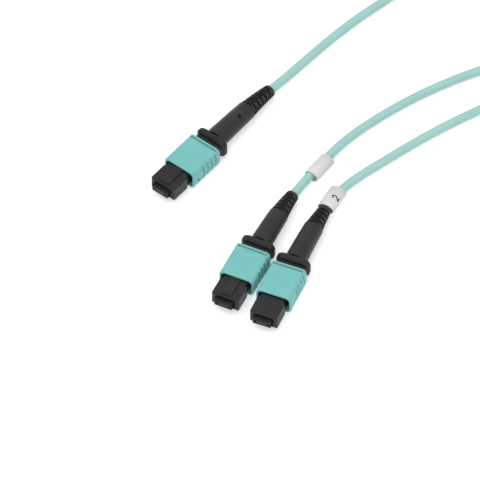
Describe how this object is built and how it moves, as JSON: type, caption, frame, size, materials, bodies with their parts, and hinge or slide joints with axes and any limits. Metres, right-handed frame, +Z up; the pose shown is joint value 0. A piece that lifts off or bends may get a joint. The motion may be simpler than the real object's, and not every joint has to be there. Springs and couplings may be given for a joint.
{
  "type": "fibre optic y harness",
  "caption": "Fibre optic Y harness: a trunk cable that branches into legs, each end with a push-on plug that has a sliding sleeve, a sprung ferrule and a ribbed strain relief boot.",
  "frame": {"origin": "on the surface that the harness lies on, under the middle of the trunk plug's coupling sleeve", "axes": "+X the way the trunk plug is pushed in, +Z up"},
  "size_m": [0.2316, 0.0849, 0.0072],
  "materials": {
    "aqua_plastic": "satin",
    "aqua_jacket": "satin",
    "black_plastic": "satin",
    "black_rubber": "matte",
    "ferrule_resin": "polished",
    "spring_steel": "bright",
    "crimp_metal": "satin",
    "fibre_coating": "gloss",
    "white_plastic": "satin",
    "black_fabric": "woven"
  },
  "bodies": {
    "harness": {"trunk_inner_housing": "black_plastic", "trunk_spring_push": "black_plastic", "trunk_crimp_sleeve": "crimp_metal", "trunk_boot": "black_rubber", "trunk_ferrule_spring": "spring_steel", "trunk_coupling_springs": "spring_steel", "trunk_fibre_ribbon": "fibre_coating", "leg_one_inner_housing": "black_plastic", "leg_one_spring_push": "black_plastic", "leg_one_crimp_sleeve": "crimp_metal", "leg_one_boot": "black_rubber", "leg_one_ferrule_spring": "spring_steel", "leg_one_coupling_springs": "spring_steel", "leg_one_fibre_ribbon": "fibre_coating", "leg_two_inner_housing": "black_plastic", "leg_two_spring_push": "black_plastic", "leg_two_crimp_sleeve": "crimp_metal", "leg_two_boot": "black_rubber", "leg_two_ferrule_spring": "spring_steel", "leg_two_coupling_springs": "spring_steel", "leg_two_fibre_ribbon": "fibre_coating", "trunk_cable": "aqua_jacket", "trunk_return_cable": "aqua_jacket", "leg_one_cable": "aqua_jacket", "leg_two_cable": "aqua_jacket", "trunk_coil": "aqua_jacket", "coil_tie": "black_fabric", "leg_one_marker": "white_plastic", "leg_two_marker": "white_plastic", "breakout_housing": "black_plastic", "breakout_cap": "black_plastic"},
    "trunk_sleeve": {"trunk_coupling_sleeve": "aqua_plastic"},
    "trunk_ferrule_group": {"trunk_ferrule": "ferrule_resin", "trunk_ferrule_boot": "black_rubber", "trunk_pin_keeper": "black_plastic"},
    "leg_one_sleeve": {"leg_one_coupling_sleeve": "aqua_plastic"},
    "leg_one_ferrule_group": {"leg_one_ferrule": "ferrule_resin", "leg_one_ferrule_boot": "black_rubber", "leg_one_pin_keeper": "black_plastic"},
    "leg_two_sleeve": {"leg_two_coupling_sleeve": "aqua_plastic"},
    "leg_two_ferrule_group": {"leg_two_ferrule": "ferrule_resin", "leg_two_ferrule_boot": "black_rubber", "leg_two_pin_keeper": "black_plastic"}
  },
  "joints": [
    {"name": "trunk_sleeve_slide", "type": "slide", "parent": "harness", "child": "trunk_sleeve", "axis": [-1, 0, 0], "range_m": [0, 0.002], "stiffness_N_per_m": 1500, "springref_m": -0.002, "deforming": ["trunk_coupling_springs"]},
    {"name": "trunk_ferrule_float", "type": "slide", "parent": "harness", "child": "trunk_ferrule_group", "axis": [-1, 0, 0], "range_m": [0, 0.0008], "stiffness_N_per_m": 2000, "springref_m": -0.004, "deforming": ["trunk_ferrule_spring", "trunk_fibre_ribbon"]},
    {"name": "leg_one_sleeve_slide", "type": "slide", "parent": "harness", "child": "leg_one_sleeve", "axis": [-0.9707, -0.2402, 0], "range_m": [0, 0.002], "stiffness_N_per_m": 1500, "springref_m": -0.002, "deforming": ["leg_one_coupling_springs"]},
    {"name": "leg_one_ferrule_float", "type": "slide", "parent": "harness", "child": "leg_one_ferrule_group", "axis": [-0.9707, -0.2402, 0], "range_m": [0, 0.0008], "stiffness_N_per_m": 2000, "springref_m": -0.004, "deforming": ["leg_one_ferrule_spring", "leg_one_fibre_ribbon"]},
    {"name": "leg_two_sleeve_slide", "type": "slide", "parent": "harness", "child": "leg_two_sleeve", "axis": [-0.9588, -0.284, 0], "range_m": [0, 0.002], "stiffness_N_per_m": 1500, "springref_m": -0.002, "deforming": ["leg_two_coupling_springs"]},
    {"name": "leg_two_ferrule_float", "type": "slide", "parent": "harness", "child": "leg_two_ferrule_group", "axis": [-0.9588, -0.284, 0], "range_m": [0, 0.0008], "stiffness_N_per_m": 2000, "springref_m": -0.004, "deforming": ["leg_two_ferrule_spring", "leg_two_fibre_ribbon"]}
  ]
}
